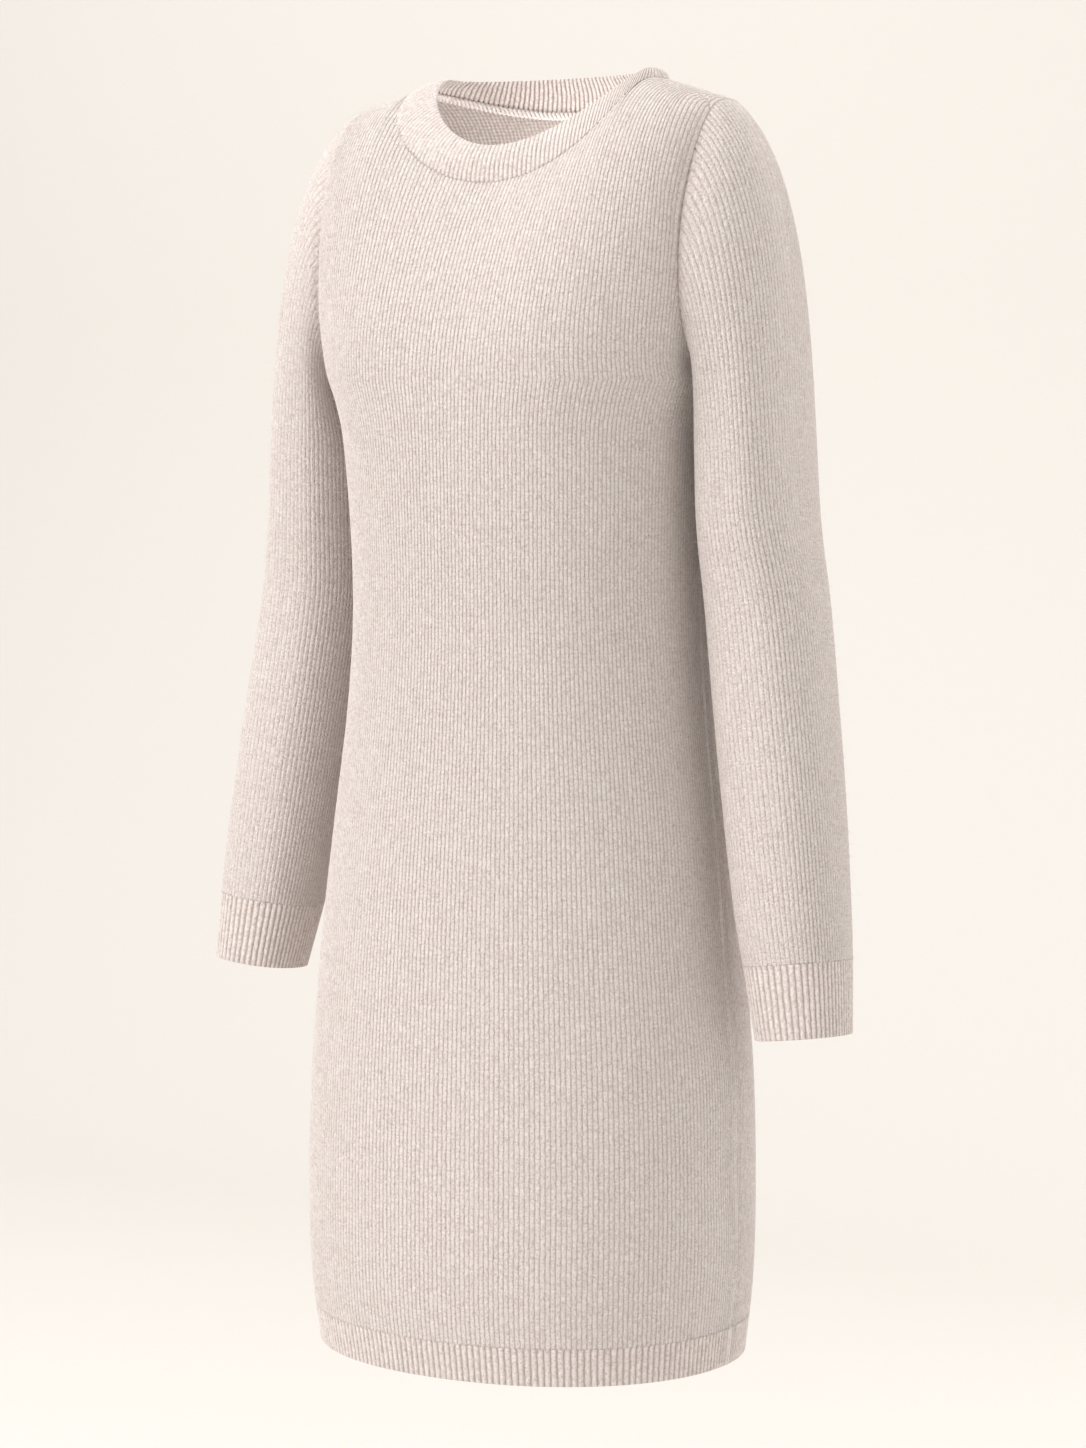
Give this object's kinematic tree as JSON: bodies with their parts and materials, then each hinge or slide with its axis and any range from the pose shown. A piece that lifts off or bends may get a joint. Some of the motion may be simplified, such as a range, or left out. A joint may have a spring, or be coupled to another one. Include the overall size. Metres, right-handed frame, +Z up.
{
  "type": "sweater dress",
  "caption": "Fine-knit long-sleeved sweater dress with ribbed neckband, cuffs and hem, standing open in the shape it has when worn.",
  "frame": {"origin": "middle of the neck, at the height of the two shoulder points beside the neckband, where the wearer's neck and shoulders hold the dress", "axes": "+Z up; the front of the dress faces -Y; +X is the wearer's left"},
  "size_m": [0.5104, 0.278, 0.909],
  "materials": {
    "jersey": "pale oatmeal melange wool-blend jersey, softly brushed",
    "rib_knit": "pale oatmeal melange one-by-one rib"
  },
  "bodies": {
    "root": {"front_panel": "jersey", "back_panel": "jersey", "right_sleeve": "jersey", "left_sleeve": "jersey", "right_cuff": "rib_knit", "left_cuff": "rib_knit", "front_hem_rib": "rib_knit", "back_hem_rib": "rib_knit", "neckband": "rib_knit"}
  },
  "joints": []
}
